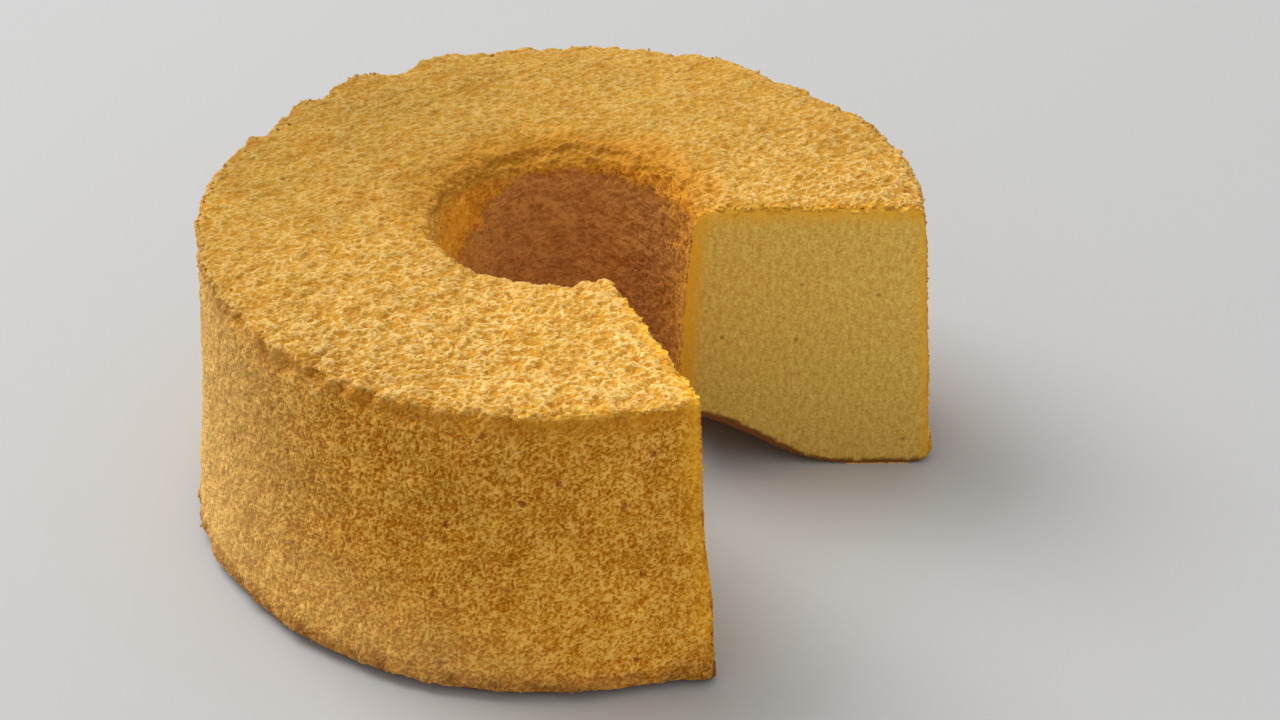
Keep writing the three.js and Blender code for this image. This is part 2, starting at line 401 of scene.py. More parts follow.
def wall_gold(tree, at, sizes, colours):
    """The wall: pale ridges round brown pores, dark spots, an amber band at the rim and a paler side of
    painted light.
    """
    gold = add(tree, "ShaderNodeValToRGB", {"Fac": at["wall level"]})
    set_stops(gold, (colours.wall_pit, colours.wall_body, colours.wall_ridge))

    # The spots are about 2 mm wide and frayed by the fine crumb.
    from_spot = add(tree, "ShaderNodeTexVoronoi", {"Vector": at["place"], "Scale": 1 / WALL_SPOT_SPACING})
    frayed = add(tree, "ShaderNodeMath", (at["fine"], 0.12, from_spot), operation="MULTIPLY_ADD")
    spots = add(
        tree, "ShaderNodeMapRange", {"Value": frayed, "From Min": 0.21, "From Max": 0.13, "To Max": 0.65}
    )
    top_mm = sizes.height / MM
    ragged = add(tree, "ShaderNodeMath", (at["medium"], 8.0, at["Z"]), operation="MULTIPLY_ADD")
    under_rim = add(
        tree,
        "ShaderNodeMapRange",
        {"Value": ragged, "From Min": top_mm - 4.0, "From Max": top_mm + 0.5, "To Max": 0.7},
    )
    # Painted light: a pale sheen on the left of the wall, and floor light bounced onto its low left.
    slant = add(tree, "ShaderNodeMath", (at["X"], 0.5, at["Z"]), operation="MULTIPLY_ADD")
    painted_bounce_low_left = add(
        tree,
        "ShaderNodeMapRange",
        {"Value": slant, "From Min": 22.0, "From Max": -20.0, "To Max": 0.25},
        interpolation_type="SMOOTHSTEP",
    )
    painted_sheen_and_bounce = add(tree, "ShaderNodeMath", (at["painted sheen on left wall"], painted_bounce_low_left), operation="MAXIMUM")
    for share, tint in (
        (spots, rgba(colours.wall_spot)),
        (under_rim, rgba(colours.rim_band)),
        (painted_sheen_and_bounce, rgba(colours.wall_painted_light)),
    ):
        gold = add(tree, "ShaderNodeMix", {"Factor": share, "A": gold, "B": tint}, data_type="RGBA")
    return gold


def browned_lip(tree, at, sizes, colours, wall):
    """The wall with a browned band at the foot's lip, broken along its length, and a browned corner."""
    over_lip = add(tree, "ShaderNodeMath", (at["Z"], sizes.lip_height / MM), operation="SUBTRACT")
    off_lip = add(tree, "ShaderNodeMath", (over_lip,), operation="ABSOLUTE")
    band = add(
        tree, "ShaderNodeMapRange", {"Value": off_lip, "From Min": 4.5, "From Max": 1.0, "To Max": 0.85}
    )
    at_foot = add(tree, "ShaderNodeMath", (band, at["browned"]), operation="MAXIMUM")
    clumped = add(tree, "ShaderNodeMath", (at["fine"], 0.6, at["medium"]), operation="MULTIPLY_ADD")
    broken = add(
        tree, "ShaderNodeMapRange", {"Value": clumped, "From Min": 0.66, "From Max": 0.92, "To Min": 0.15}
    )
    share = add(tree, "ShaderNodeMath", (at_foot, broken), operation="MULTIPLY")
    brown = add(
        tree,
        "ShaderNodeMix",
        {"Factor": at["browned"], "A": rgba(colours.foot_body), "B": rgba(colours.foot_dark)},
        data_type="RGBA",
    )
    return add(tree, "ShaderNodeMix", {"Factor": share, "A": wall, "B": brown}, data_type="RGBA")


def hole_skin(tree, at, sizes, colours, crust):
    """The crust with the dark skin of the hole.

    The skin starts at a ragged line under the top, lower on the left. It is thin at both ends, and
    it is darker towards the right.
    """
    skin_mm = (sizes.height - sizes.skin_drop) / MM
    line = at["Z"]
    for name, shift in (("medium", 16.0), ("left of hole", 14.0), ("fine", 5.0)):
        line = add(tree, "ShaderNodeMath", (at[name], shift, line), operation="MULTIPLY_ADD")
    below = add(
        tree, "ShaderNodeMapRange", {"Value": line, "From Min": skin_mm + 12.0, "From Max": skin_mm + 9.5}
    )
    in_hole = add(tree, "ShaderNodeMath", (below, at["hole"]), operation="MULTIPLY")
    sideways = add(tree, "ShaderNodeMath", (at["broad"], 20.0, at["X"]), operation="MULTIPLY_ADD")
    share = in_hole
    for start, end, first, last in ((-24.0, -10.0, 0.4, 1.0), (32.0, 42.0, 1.0, 0.35)):
        thinned = add(
            tree,
            "ShaderNodeMapRange",
            {"Value": sideways, "From Min": start, "From Max": end, "To Min": first, "To Max": last},
        )
        share = add(tree, "ShaderNodeMath", (share, thinned), operation="MULTIPLY")
    tone = add(tree, "ShaderNodeMath", (at["medium"], 3.0, at["tufty"]), operation="MULTIPLY_ADD")
    blotch = add(tree, "ShaderNodeMapRange", {"Value": tone, "From Min": 1.7, "From Max": 3.4})
    skin = add(
        tree,
        "ShaderNodeMix",
        {"Factor": blotch, "A": rgba(colours.skin_dark), "B": rgba(colours.skin_body)},
        data_type="RGBA",
    )
    lined = add(tree, "ShaderNodeMix", {"Factor": share, "A": crust, "B": skin}, data_type="RGBA")
    darker = add(tree, "ShaderNodeMix", {"Factor": in_hole, "A": 1.0, "B": at["right of hole"]})
    return add(tree, "ShaderNodeVectorMath", {"Vector": lined, "Scale": darker}, operation="SCALE")


def uneven_bake_and_painted_light(tree, at):
    """How pale the crust is: random, and painted light paler on top and wall by the near cut and at the
    foot.
    """
    uneven = add(
        tree,
        "ShaderNodeMapRange",
        {"Value": at["broad"], "From Min": 0.3, "From Max": 0.7, "To Min": 0.92, "To Max": 1.08},
    )
    wall = add(tree, "ShaderNodeMath", (at["painted light by the cut"], at["painted floor light on low wall"]), operation="MULTIPLY")
    top = add(tree, "ShaderNodeMath", (at["painted light on near top"], at["painted light on right top"]), operation="MULTIPLY")
    pale = add(tree, "ShaderNodeMix", {"Factor": at["top"], "A": wall, "B": top})
    return add(tree, "ShaderNodeMath", (uneven, pale), operation="MULTIPLY")


def golden_crust(sizes, colours):
    """Baked sponge crust whose skin stayed on the pan, so that the open crumb shows through it.

    Dry and fully matt, and light passes a little way through it: curled tufts over amber pits on the
    top, browner gold with a net of pale ridges round small pores on the wall, and the fuzzy dark skin
    that set against the hot tube inside the hole.
    """
    material, tree = new_material("torn golden sponge crust")
    at = crust_patterns(tree, sizes)
    wall = browned_lip(tree, at, sizes, colours, wall_gold(tree, at, sizes, colours))
    top = top_gold(tree, at, sizes, colours)
    crust = add(tree, "ShaderNodeMix", {"Factor": at["top"], "A": wall, "B": top}, data_type="RGBA")

    # A yellow margin along the cuts, torn spots along the rim, and amber on the hole's shoulder.
    # Painted light: the amber in the hole is made brighter towards the left.
    grain_and_painted_light = add(tree, "ShaderNodeMath", (at["left of hole"], 0.85, at["grain"]), operation="MULTIPLY_ADD")
    for zone, most, tint, grain in (
        # On the fringe over the cuts this bright amber is partly painted light.
        ("margin", 0.65, colours.crumb_edge, 1.0),
        ("torn", 0.55, colours.rim_tear, at["grain"]),
        ("hole", 0.65, colours.hole_amber, grain_and_painted_light),
    ):
        share = add(tree, "ShaderNodeMath", (at[zone], most), operation="MULTIPLY")
        grained = add(
            tree, "ShaderNodeVectorMath", {"Vector": tuple(tint), "Scale": grain}, operation="SCALE"
        )
        crust = add(tree, "ShaderNodeMix", {"Factor": share, "A": crust, "B": grained}, data_type="RGBA")
    lined = hole_skin(tree, at, sizes, colours, crust)
    # The crust's random tone, with painted light across the cake.
    pale = uneven_bake_and_painted_light(tree, at)
    colour = add(tree, "ShaderNodeVectorMath", {"Vector": lined, "Scale": pale}, operation="SCALE")
    bump = add(tree, "ShaderNodeBump", {"Height": at["level"], "Strength": 0.8, "Distance": 0.4 * MM})
    look = {
        "Base Color": colour,
        "Normal": bump,
        "Roughness": 0.95,
        "Specular IOR Level": 0.1,
        "Subsurface Weight": 0.25,
        "Subsurface Radius": (1.0, 0.75, 0.45),
        "Subsurface Scale": 0.8 * MM,
        "Sheen Weight": 0.06,
        "Sheen Roughness": 0.4,
        "Sheen Tint": rgba(colours.top_tuft),
    }
    end_material(tree, look)
    return material


def crumb_depths(tree, place, up, sizes):
    """How deep a place in the cut lies under the wall, the hole, the top and the foot, in millimetres."""
    radius = radius_of(tree, place)
    top_mm = sizes.height / MM
    skin = {}
    for name, low, high in (
        ("wall", sizes.base_radius, sizes.top_radius),
        ("hole", sizes.hole_base_radius, sizes.hole_radius),
    ):
        skin[name] = add(
            tree,
            "ShaderNodeMapRange",
            {"Value": up, "From Max": top_mm, "To Min": low / MM, "To Max": high / MM},
        )
    hollow = add(
        tree,
        "ShaderNodeMapRange",
        {
            "Value": radius,
            "From Min": sizes.hole_base_radius / MM + 6.0,
            "From Max": sizes.foot_radius / MM - 2.0,
            "To Min": sizes.hollow_height / MM,
            "To Max": 0.0,
        },
        interpolation_type="SMOOTHSTEP",
    )
    depth = {}
    for name, outer, inner in (
        ("wall", skin["wall"], radius),
        ("hole", radius, skin["hole"]),
        ("top", top_mm, up),
        ("foot", up, hollow),
    ):
        depth[name] = add(tree, "ShaderNodeMath", (outer, inner), operation="SUBTRACT")
    return depth


def cut_crumb(sizes, colours):
    """Sponge crumb opened by a knife: pale yellow, matt and full of cells, with an amber band of crust."""
    material, tree = new_material("cut sponge crumb")
    place = place_in_mm(tree)
    up = add(tree, "ShaderNodeSeparateXYZ", (place,)).outputs["Z"]
    depth = crumb_depths(tree, place, up, sizes)
    upright = add(tree, "ShaderNodeVectorMath", (place, (1.0, 1.0, 0.5)), operation="MULTIPLY")
    noise = {}
    for name, where, spacing, detail, roughness in (
        ("uneven", place, 3.5, 3.0, 0.6),
        ("fine", place, 0.7, 3.0, 0.65),
        ("streak", upright, 1.3, 2.0, 0.5),
    ):
        noise[name] = add(
            tree,
            "ShaderNodeTexNoise",
            {"Vector": where, "Scale": 1 / spacing, "Detail": detail, "Roughness": roughness},
        )

    # The band of crust: broad at the hole and under the top, narrow at the wall, and brown at the foot.
    slim = add(tree, "ShaderNodeMath", (depth["hole"], 2.0), operation="SUBTRACT")
    sides = add(tree, "ShaderNodeMath", (depth["wall"], slim, 5.0), operation="SMOOTH_MIN")
    slow = add(tree, "ShaderNodeMath", (depth["top"], 0.6), operation="MULTIPLY")
    inside = add(tree, "ShaderNodeMath", (sides, slow, 5.0), operation="SMOOTH_MIN")
    band = {}
    for name, deep, waver, start, end, most in (
        ("amber", inside, 4.0, 2.0, 6.5, 0.85),
        ("brown", depth["foot"], 3.0, 2.4, 4.0, 1.0),
    ):
        reach = add(tree, "ShaderNodeMath", (noise["uneven"], waver, deep), operation="MULTIPLY_ADD")
        band[name] = add(
            tree,
            "ShaderNodeMapRange",
            {"Value": reach, "From Min": start, "From Max": end, "To Min": most, "To Max": 0.0},
            interpolation_type="SMOOTHSTEP",
        )

    # Open cells: fine grain and soft upright streaks, with a few pinholes painted as dark spots of shade.
    height = add(tree, "ShaderNodeMath", (noise["streak"], 0.7, noise["fine"]), operation="MULTIPLY_ADD")
    level = add(tree, "ShaderNodeMapRange", {"Value": height, "From Min": 0.65, "From Max": 1.05})
    crumb = add(
        tree,
        "ShaderNodeMix",
        {"Factor": level, "A": rgba(colours.crumb_pore), "B": rgba(colours.crumb_body)},
        data_type="RGBA",
    )
    from_pin = add(tree, "ShaderNodeTexVoronoi", {"Vector": place, "Scale": 1 / PINHOLE_SPACING})
    pinhole_shade = add(
        tree, "ShaderNodeMapRange", {"Value": from_pin, "From Min": 0.09, "From Max": 0.04, "To Max": 0.6}
    )
    for share, tint in (
        (pinhole_shade, rgba(colours.crumb_pinhole_shade)),
        (band["amber"], rgba(colours.crumb_edge)),
        (band["brown"], rgba(colours.foot_body)),
    ):
        crumb = add(tree, "ShaderNodeMix", {"Factor": share, "A": crumb, "B": tint}, data_type="RGBA")
    # Darker low down: painted shade on the lower cut, and a crumb a little browner towards the foot.
    browner_and_shaded_low = add(
        tree, "ShaderNodeMapRange", {"Value": up, "From Min": 8.0, "From Max": 55.0, "To Min": 0.82}
    )
    colour = add(tree, "ShaderNodeVectorMath", {"Vector": crumb, "Scale": browner_and_shaded_low}, operation="SCALE")
    bump = add(tree, "ShaderNodeBump", {"Height": height, "Strength": 0.5, "Distance": 0.3 * MM})
    look = {"Base Color": colour, "Normal": bump, "Roughness": 0.95, "Specular IOR Level": 0.15}
    end_material(tree, look)
    return material


def browned_foot(colours):
    """The crust that faced the oven's heat, now underneath: dry, brown and slightly wrinkled."""
    material, tree = new_material("browned oven crust")
    place = place_in_mm(tree)
    noise = {}
    for name, (spacing, detail, roughness) in FOOT_NOISES.items():
        noise[name] = add(
            tree,
            "ShaderNodeTexNoise",
            {"Vector": place, "Scale": 1 / spacing, "Detail": detail, "Roughness": roughness},
        )
    colour = add(
        tree,
        "ShaderNodeMix",
        {"Factor": noise["blotch"], "A": rgba(colours.foot_dark), "B": rgba(colours.foot_body)},
        data_type="RGBA",
    )
    bump = add(tree, "ShaderNodeBump", {"Height": noise["wrinkle"], "Strength": 0.6, "Distance": 0.4 * MM})
    end_material(tree, {"Base Color": colour, "Normal": bump, "Roughness": 0.8})
    return material


def new_piece(name, mesh):
    """A new object at the origin that holds the mesh."""
    piece = bpy.data.objects.new(name, mesh)
    bpy.context.scene.collection.objects.link(piece)
    return piece


def bake_modifiers(piece):
    """Turns the piece's modifiers into plain mesh."""
    graph = bpy.context.evaluated_depsgraph_get()
    mesh = bpy.data.meshes.new_from_object(piece.evaluated_get(graph), depsgraph=graph)
    piece.modifiers.clear()
    piece.data = mesh


def node_tree(name, inputs):
    """A geometry tree with a mesh in, a mesh out and named inputs."""
    tree = bpy.data.node_groups.new(name, "GeometryNodeTree")
    tree.interface.new_socket("Geometry", in_out="INPUT", socket_type="NodeSocketGeometry")
    for label, kind in inputs.items():
        tree.interface.new_socket(label, in_out="INPUT", socket_type=kind)
    tree.interface.new_socket("Geometry", in_out="OUTPUT", socket_type="NodeSocketGeometry")
    return tree, add(tree, "NodeGroupInput").outputs


def run_tree(piece, tree, values):
    """Runs a geometry tree on a piece with its inputs set, and keeps the result as plain mesh."""
    modifier = piece.modifiers.new(tree.name, "NODES")
    modifier.node_group = tree
    ids = {item.name: item.identifier for item in tree.interface.items_tree if item.in_out == "INPUT"}
    for label, value in values.items():
        modifier[ids[label]] = value
    bake_modifiers(piece)


def end_tree(tree, geometry, material):
    """Ends a geometry tree: plain mesh, smooth, with its finish."""
    whole = add(tree, "GeometryNodeRealizeInstances", {"Geometry": geometry})
    smooth = add(tree, "GeometryNodeSetShadeSmooth", {"Geometry": whole})
    finished = add(tree, "GeometryNodeSetMaterial", {"Geometry": smooth, "Material": material})
    add(tree, "NodeGroupOutput", (finished,))


def relief_tree():
    """Crags, tufts, pores and rim clumps along the surface's normal, as deep as each zone has them.

    How high each vertex stands among its neighbours is kept as "relief", from 0 to 1, and the pits
    along the rim are added to "torn", for the finish, which darkens those pits: partly painted shade.
    """
    sockets = {kind + word: "NodeSocketFloat" for kind in RELIEF_KINDS for word in (" spacing", " depth")}
    sockets["Material"] = "NodeSocketMaterial"
    tree, given = node_tree("sponge relief", sockets)
    place = add(tree, "GeometryNodeInputPosition")
    normal = add(tree, "GeometryNodeInputNormal")
    zone = {}
    for name in ("top", "hole", "cut", "foot", "rim", "torn", "swell", "rough"):
        zone[name] = add(tree, "GeometryNodeInputNamedAttribute", {"Name": name}, data_type="FLOAT")
    scale = {}
    for kind in RELIEF_KINDS:
        scale[kind] = add(tree, "ShaderNodeMath", (1.0, given[kind + " spacing"]), operation="DIVIDE")

    # The patterns, each from 0 or -1 in its pits.
    drawn = add(tree, "ShaderNodeVectorMath", (place, STRAND_DRAW), operation="MULTIPLY")
    curl = strands(tree, drawn, scale["Tuft"], 0.11, 1.0)
    net = strands(tree, place, scale["Pore"], 0.12, 1.0)
    pore = add(tree, "ShaderNodeMath", (net, 1.0), operation="SUBTRACT")
    crag = add(tree, "ShaderNodeTexNoise", {"Vector": place, "Scale": scale["Crag"], "Detail": 2.0})
    bulk = add(tree, "ShaderNodeMapRange", {"Value": crag, "From Min": 0.35, "From Max": 0.65})
    mixed = add(tree, "ShaderNodeMath", (bulk, 0.7, curl), operation="MULTIPLY_ADD")
    mixed = add(tree, "ShaderNodeMath", (net, 0.5, mixed), operation="MULTIPLY_ADD")
    stood = add(tree, "ShaderNodeMapRange", {"Value": mixed, "From Min": 0.1, "From Max": 1.7})
    tuft = add(tree, "ShaderNodeMapRange", {"Value": stood, "To Min": -1.0})
    lumpy = add(
        tree,
        "ShaderNodeTexNoise",
        {"Vector": place, "Scale": scale["Clump"], "Detail": 2.0, "Roughness": 0.6},
    )
    clump = add(
        tree,
        "ShaderNodeMapRange",
        {"Value": lumpy, "From Min": 0.35, "From Max": 0.62, "To Min": -1.0, "To Max": 0.5},
    )

    # Each zone's own depth.
    sunk = add(tree, "ShaderNodeMapRange", {"Value": bulk, "To Min": -0.7, "To Max": 0.3})
    crags = add(tree, "ShaderNodeMath", (sunk, given["Crag depth"]), operation="MULTIPLY")
    tufts = add(tree, "ShaderNodeMath", (tuft, given["Tuft depth"], crags), operation="MULTIPLY_ADD")
    pores = add(tree, "ShaderNodeMath", (pore, given["Pore depth"]), operation="MULTIPLY")
    depth = add(tree, "ShaderNodeMath", (crags, 0.7, pores), operation="MULTIPLY_ADD")
    for name, pattern, share in (("hole", tufts, 0.55), ("top", tufts, zone["rough"]), ("cut", pores, 0.4)):
        part = add(tree, "ShaderNodeMath", (pattern, share), operation="MULTIPLY")
        depth = add(tree, "ShaderNodeMix", {"Factor": zone[name], "A": depth, "B": part})
    at_rim = add(tree, "ShaderNodeMath", (clump, zone["rim"]), operation="MULTIPLY")
    depth = add(tree, "ShaderNodeMath", (at_rim, given["Clump depth"], depth), operation="MULTIPLY_ADD")
    depth = add(tree, "ShaderNodeMath", (depth, zone["swell"]))

    # No relief on the foot or just above the floor, so that the cake stands where the solid does.
    up = add(tree, "ShaderNodeSeparateXYZ", (place,)).outputs["Z"]
    raised = add(tree, "ShaderNodeMapRange", {"Value": up, "From Min": 0.5 * MM, "From Max": 3.0 * MM})
    bare = add(tree, "ShaderNodeMath", (1.0, zone["foot"]), operation="SUBTRACT")
    kept = add(tree, "ShaderNodeMath", (bare, raised), operation="MULTIPLY")
    amount = add(tree, "ShaderNodeMath", (depth, kept), operation="MULTIPLY")
    offset = add(tree, "ShaderNodeVectorMath", {"Vector": normal, "Scale": amount}, operation="SCALE")

    fuzzy = add(tree, "ShaderNodeMath", (zone["top"], zone["hole"]), use_clamp=True)
    relief = add(tree, "ShaderNodeMix", {"Factor": fuzzy, "A": net, "B": stood})
    pitted = add(
        tree, "ShaderNodeMath", (at_rim, -1.1, zone["torn"]), operation="MULTIPLY_ADD", use_clamp=True
    )
    mesh = given["Geometry"]
    for name, value in (("relief", relief), ("torn", pitted)):
        mesh = add(
            tree,
            "GeometryNodeStoreNamedAttribute",
            {"Geometry": mesh, "Name": name, "Value": value},
            data_type="FLOAT",
        )
    moved = add(tree, "GeometryNodeSetPosition", {"Geometry": mesh, "Offset": offset})
    end_tree(tree, moved, given["Material"])
    return tree


def part_tree():
    """Keeps the faces of one part of the body and gives them their finish."""
    tree, given = node_tree("one part", {"Part": "NodeSocketInt", "Material": "NodeSocketMaterial"})
    number = add(tree, "GeometryNodeInputNamedAttribute", {"Name": "part"}, data_type="INT")
    chosen = add(
        tree, "FunctionNodeCompare", {"A": number, "B": given["Part"]}, data_type="INT", operation="EQUAL"
    )
    kept = add(
        tree,
        "GeometryNodeSeparateGeometry",
        {"Geometry": given["Geometry"], "Selection": chosen},
        domain="FACE",
    )
    end_tree(tree, kept, given["Material"])
    return tree


def tuft_tree():
    """Small torn tufts of crumb, scattered where a zone of the surface has weight and bent out of shape."""
    sockets = dict.fromkeys(("Density", "Smallest", "Largest", "Stretch"), "NodeSocketFloat")
    sockets.update({"Zone": "NodeSocketString", "Seed": "NodeSocketInt", "Material": "NodeSocketMaterial"})
    tree, given = node_tree("sponge tufts", sockets)
    seed = given["Seed"]
    zone = add(tree, "GeometryNodeInputNamedAttribute", {"Name": given["Zone"]}, data_type="FLOAT")
    density = add(tree, "ShaderNodeMath", (zone, given["Density"]), operation="MULTIPLY")
    points = add(
        tree,
        "GeometryNodeDistributePointsOnFaces",
        {"Mesh": given["Geometry"], "Density": density, "Seed": seed},
    )

    # Most tufts are small, a few are large, and each is squashed and tilted its own way.
    chance = add(tree, "FunctionNodeRandomValue", {"Seed": seed}, data_type="FLOAT")
    skewed = add(tree, "ShaderNodeMath", (chance, 1.7), operation="POWER")
    width = add(
        tree,
        "ShaderNodeMapRange",
        {"Value": skewed, "To Min": given["Smallest"], "To Max": given["Largest"]},
    )
    random = {}
    for name, least, most in (
        ("shape", (0.65, 0.65, 0.65), (1.35, 1.35, 1.35)),
        ("tilt", (-0.7, -0.7, 0.0), (0.7, 0.7, math.tau)),
    ):
        random[name] = add(
            tree,
            "FunctionNodeRandomValue",
            {"Min": least, "Max": most, "Seed": seed},
            data_type="FLOAT_VECTOR",
        )
    stretch = add(tree, "ShaderNodeCombineXYZ", (1.0, 1.0, given["Stretch"]))
    tall = add(tree, "ShaderNodeVectorMath", (random["shape"], stretch), operation="MULTIPLY")
    scale = add(tree, "ShaderNodeVectorMath", {"Vector": tall, "Scale": width}, operation="SCALE")
    turned = add(
        tree,
        "FunctionNodeRotateRotation",
        {"Rotation": points.outputs["Rotation"], "Rotate By": random["tilt"]},
        rotation_space="LOCAL",
    )
    lump = add(tree, "GeometryNodeMeshUVSphere", {"Segments": 6, "Rings": 4, "Radius": 1.0})
    placed = add(
        tree,
        "GeometryNodeInstanceOnPoints",
        {"Points": points.outputs["Points"], "Instance": lump, "Rotation": turned, "Scale": scale},
    )
    whole = add(tree, "GeometryNodeRealizeInstances", {"Geometry": placed})
    grain = add(tree, "ShaderNodeMath", (1.1, given["Largest"]), operation="DIVIDE")
    noise = add(tree, "ShaderNodeTexNoise", {"Scale": grain, "Detail": 1.0}).outputs["Color"]
    centred = add(tree, "ShaderNodeVectorMath", (noise, (0.5, 0.5, 0.5)), operation="SUBTRACT")
    reach = add(tree, "ShaderNodeMath", (given["Largest"], 2.2), operation="MULTIPLY")
    offset = add(tree, "ShaderNodeVectorMath", {"Vector": centred, "Scale": reach}, operation="SCALE")
    bent = add(tree, "GeometryNodeSetPosition", {"Geometry": whole, "Offset": offset})
    # Tufts count as raised crumb, which the finish paints paler: partly painted highlight.
    proud = add(
        tree,
        "GeometryNodeStoreNamedAttribute",
        {"Geometry": bent, "Name": "relief", "Value": 0.75},
        data_type="FLOAT",
    )
    end_tree(tree, proud, given["Material"])
    return tree


def ease(low, high, value):
    """0 at low, 1 at high and a smooth way between them, for each value of an array."""
    share = np.clip((value - low) / (high - low), 0.0, 1.0)
    return share * share * (3 - 2 * share)


def near(reach, *distances):
    """1 where all distances are 0, fading to nothing at about twice the reach."""
    return np.exp(-sum(np.square(distance) for distance in distances) / reach ** 2)


def vertex_places(mesh):
    """The places of the mesh's vertices, one row for each."""
    places = np.empty(len(mesh.vertices) * 3)
    mesh.vertices.foreach_get("co", places)
    return places.reshape(-1, 3)


def cut_zones(places, normals, under_wall, under_top, over_hole, sizes):
    """The two cuts: their faces, the crust folded over them, its fringe, the worn edges and the tufts."""
    cut, fringe, worn, edge = np.zeros((4, len(places)))
    folded = np.zeros(len(places), dtype=bool)
    for angle, side in ((sizes.near_cut, 1), (0.0, -1)):
        along = places @ np.array((math.cos(angle), math.sin(angle), 0.0))
        away = np.array((-math.sin(angle), math.cos(angle), 0.0)) * side
        off_plane = np.where(along > 0, np.abs(places @ away), 1.0)
        facing = (off_plane < sizes.grid) & (normals @ away > 0.75)
        ragged = (1.5 + 0.6 * np.sin(along / (1.7 * MM)) + 0.5 * np.sin(along / (0.7 * MM))) * MM
        overhang = facing & (under_top <= ragged)
        cut[facing & ~overhang] = 1.0
        # The fringe along each cut's top edge is crust colour, partly painted light: bright amber where
        # that edge catches light.
        fringe[overhang] = 1.0
        folded |= overhang
        at_top = near(2 * MM, off_plane, np.maximum(under_top, 0))
        fringe = np.maximum(fringe, 0.6 * at_top)
        worn = np.maximum(worn, at_top)
        worn = np.maximum(worn, 0.5 * near(1.5 * MM, off_plane, np.maximum(under_wall, 0)))
        edge = np.maximum(edge, 0.12 * at_top)
        edge = np.maximum(edge, 0.5 * near(1.5 * MM, off_plane, under_wall))
        edge = np.maximum(edge, 0.4 * near(1.5 * MM, off_plane, over_hole))
    return cut, folded, fringe, worn, edge


def zone_weights(places, normals, sizes):
    """How much each vertex belongs to each zone of the ring's surface. Turns are in radians."""
    across = np.hypot(places[:, 0], places[:, 1])
    up = places[:, 2]
    turn = np.arctan2(places[:, 1], places[:, 0])
    outwards = (places[:, 0] * normals[:, 0] + places[:, 1] * normals[:, 1]) / across
    wall_at = sizes.base_radius + (sizes.top_radius - sizes.base_radius) * up / sizes.height
    under_wall = wall_at - across
    under_top = sizes.height - up
    over_hole = across - sizes.hole_radius
    cut, folded, fringe, worn, edge = cut_zones(places, normals, under_wall, under_top, over_hole, sizes)
    crust = 1 - cut

    # The rim is torn most at the front left, less at the back left and little elsewhere.
    tattered = 0.3 + 0.7 * near(0.75, turn % math.tau - 3.9) + 0.25 * near(0.5, turn - 2.35)
    rim = tattered * near(4.5 * MM, under_wall, np.maximum(under_top - 2 * MM, 0))
    rim = np.maximum(rim, 0.4 * near(4 * MM, over_hole - 2 * MM, under_top - 2 * MM))
    rim = np.maximum(rim, 0.6 * near(3 * MM, under_wall, up - sizes.lip_height))
    rim = np.maximum(rim, 0.6 * worn)
    edge = np.maximum(edge, 0.15 * near(1.5 * MM, under_wall, up - 3 * MM))
    edge = np.maximum(edge, 0.3 * near(2.5 * MM, under_wall, under_top))

    # The ledge on the far side of the hole: a groove in the shoulder, and a ridge under it.
    far_side = near(sizes.ledge_spread, turn - sizes.ledge_turn)
    groove = near(1.3 * MM, over_hole - 2.7 * MM, under_top - 1.2 * MM) * far_side
    ridge = near(1.6 * MM, over_hole - 0.6 * MM, under_top - 4 * MM) * far_side

    # The lip that bulges at the foot.
    lip = near(3.5 * MM, under_wall, up - sizes.lip_height)

    # The yellow margin of the wall at the near cut and of the front rim, and the browned corner.
    along_wall = (turn - sizes.near_cut) * sizes.base_radius
    margin = near(4.5 * MM, along_wall) * (0.5 + 0.5 * ease(10 * MM, 80 * MM, up))
    front = ease(4.1, 4.7, turn % math.tau)
    fringe = np.maximum(fringe, 0.5 * front * near(3 * MM, under_wall, np.maximum(under_top, 0)))
    corner_brown = near(9 * MM, along_wall, np.maximum(up - 4 * MM, 0) * 1.3)

    # How far the surface lies inside a rim that is whole and evenly rounded.
    from_wall = np.maximum(sizes.rim_round - under_wall, 0)
    from_top = np.maximum(sizes.rim_round - under_top, 0)
    corner = np.hypot(from_wall, from_top)
    at_rim = near(2 * sizes.rim_round, np.maximum(under_wall, 0), np.maximum(under_top, 0))
    # The groove on the far ledge takes a little of the torn tint: painted shade in the groove.
    torn = np.maximum(ease(0.9 * MM, 2.2 * MM, sizes.rim_round - corner) * at_rim, 0.25 * groove)

    foot = ease(-0.3, -0.8, normals[:, 2])
    top = np.maximum(ease(0.1, 0.7, normals[:, 2]) * (up > sizes.height / 2), folded)
    return {
        "cut": cut,
        "foot": foot,
        "top": top * crust,
        "hole": ease(-0.1, -0.5, outwards) * (over_hole < 8 * MM) * (1 - top) * (1 - foot) * crust,
        "torn": torn * crust,
        "edge": edge * (1 - foot) * crust,
        "rim": rim * crust,
        "browned": corner_brown * crust,
        "margin": np.maximum(margin * (1 - corner_brown), fringe) * crust,
        "swell": ((0.9 * ridge - 0.15 * groove + 0.7 * lip) * crust - 0.9 * worn) * MM,
        "rough": 0.57 + 0.43 * ease(-50 * MM, 45 * MM, 0.4 * places[:, 0] - 0.9 * places[:, 1]),
    }


